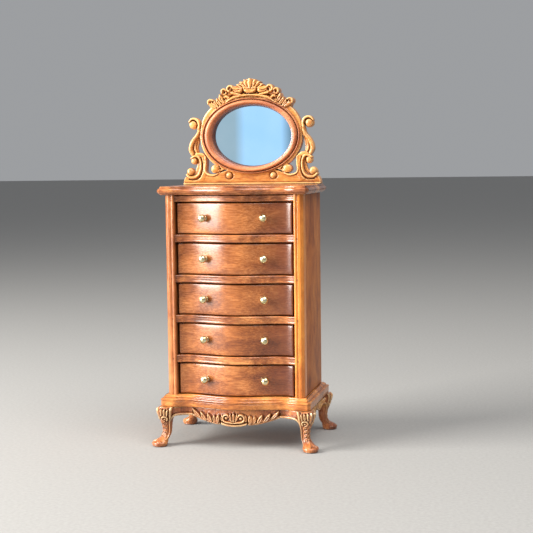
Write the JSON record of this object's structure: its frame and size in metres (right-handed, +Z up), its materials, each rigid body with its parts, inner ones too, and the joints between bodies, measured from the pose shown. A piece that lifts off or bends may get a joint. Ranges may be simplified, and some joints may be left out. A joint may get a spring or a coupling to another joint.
{
  "type": "dolls house chest of drawers with mirror",
  "caption": "Tall narrow miniature chest with sliding serpentine drawers, cabriole legs, a shaped apron and an oval mirror on a fretwork stand.",
  "frame": {"origin": "on the floor, under the middle of the four feet", "axes": "+Z up, drawers face -Y and open towards -Y, +X to the right of someone facing the drawers"},
  "size_m": [0.0758, 0.0552, 0.1644],
  "materials": {
    "case_wood": "satin brown-stained lacquer with darker edges",
    "drawer_wood": "glossy red-brown stained lacquer, fine grain",
    "carved_wood": "satin honey-brown stain, dark glaze in the carving, worn high spots",
    "inner_wood": "bare pale wood",
    "brass": "polished, slightly aged",
    "mirror": "silvered glass"
  },
  "bodies": {
    "case": {"top_board": "case_wood", "side_panel_left": "case_wood", "side_panel_right": "case_wood", "back_panel": "case_wood", "corner_post_left": "case_wood", "corner_post_right": "case_wood", "top_rail": "case_wood", "drawer_rail_1": "case_wood", "drawer_rail_2": "case_wood", "drawer_rail_3": "case_wood", "drawer_rail_4": "case_wood", "base_board": "carved_wood", "apron_front": "carved_wood", "apron_left": "carved_wood", "apron_right": "carved_wood", "apron_back": "carved_wood", "leg_front_left": "carved_wood", "leg_front_right": "carved_wood", "leg_back_left": "carved_wood", "leg_back_right": "carved_wood", "mirror_stand": "carved_wood", "oval_frame": "carved_wood", "crest_carving": "carved_wood", "mirror_glass": "mirror", "mirror_backing": "inner_wood"},
    "drawer_1": {"drawer_1_front": "drawer_wood", "drawer_1_side_left": "inner_wood", "drawer_1_side_right": "inner_wood", "drawer_1_back": "inner_wood", "drawer_1_bottom": "inner_wood", "drawer_1_knob_left": "brass", "drawer_1_knob_right": "brass"},
    "drawer_2": {"drawer_2_front": "drawer_wood", "drawer_2_side_left": "inner_wood", "drawer_2_side_right": "inner_wood", "drawer_2_back": "inner_wood", "drawer_2_bottom": "inner_wood", "drawer_2_knob_left": "brass", "drawer_2_knob_right": "brass"},
    "drawer_3": {"drawer_3_front": "drawer_wood", "drawer_3_side_left": "inner_wood", "drawer_3_side_right": "inner_wood", "drawer_3_back": "inner_wood", "drawer_3_bottom": "inner_wood", "drawer_3_knob_left": "brass", "drawer_3_knob_right": "brass"},
    "drawer_4": {"drawer_4_front": "drawer_wood", "drawer_4_side_left": "inner_wood", "drawer_4_side_right": "inner_wood", "drawer_4_back": "inner_wood", "drawer_4_bottom": "inner_wood", "drawer_4_knob_left": "brass", "drawer_4_knob_right": "brass"},
    "drawer_5": {"drawer_5_front": "drawer_wood", "drawer_5_side_left": "inner_wood", "drawer_5_side_right": "inner_wood", "drawer_5_back": "inner_wood", "drawer_5_bottom": "inner_wood", "drawer_5_knob_left": "brass", "drawer_5_knob_right": "brass"}
  },
  "joints": [
    {"name": "drawer_1_slide", "type": "slide", "parent": "case", "child": "drawer_1", "axis": [0, -1, 0], "range_m": [0, 0.026]},
    {"name": "drawer_2_slide", "type": "slide", "parent": "case", "child": "drawer_2", "axis": [0, -1, 0], "range_m": [0, 0.026]},
    {"name": "drawer_3_slide", "type": "slide", "parent": "case", "child": "drawer_3", "axis": [0, -1, 0], "range_m": [0, 0.026]},
    {"name": "drawer_4_slide", "type": "slide", "parent": "case", "child": "drawer_4", "axis": [0, -1, 0], "range_m": [0, 0.026]},
    {"name": "drawer_5_slide", "type": "slide", "parent": "case", "child": "drawer_5", "axis": [0, -1, 0], "range_m": [0, 0.026]}
  ]
}
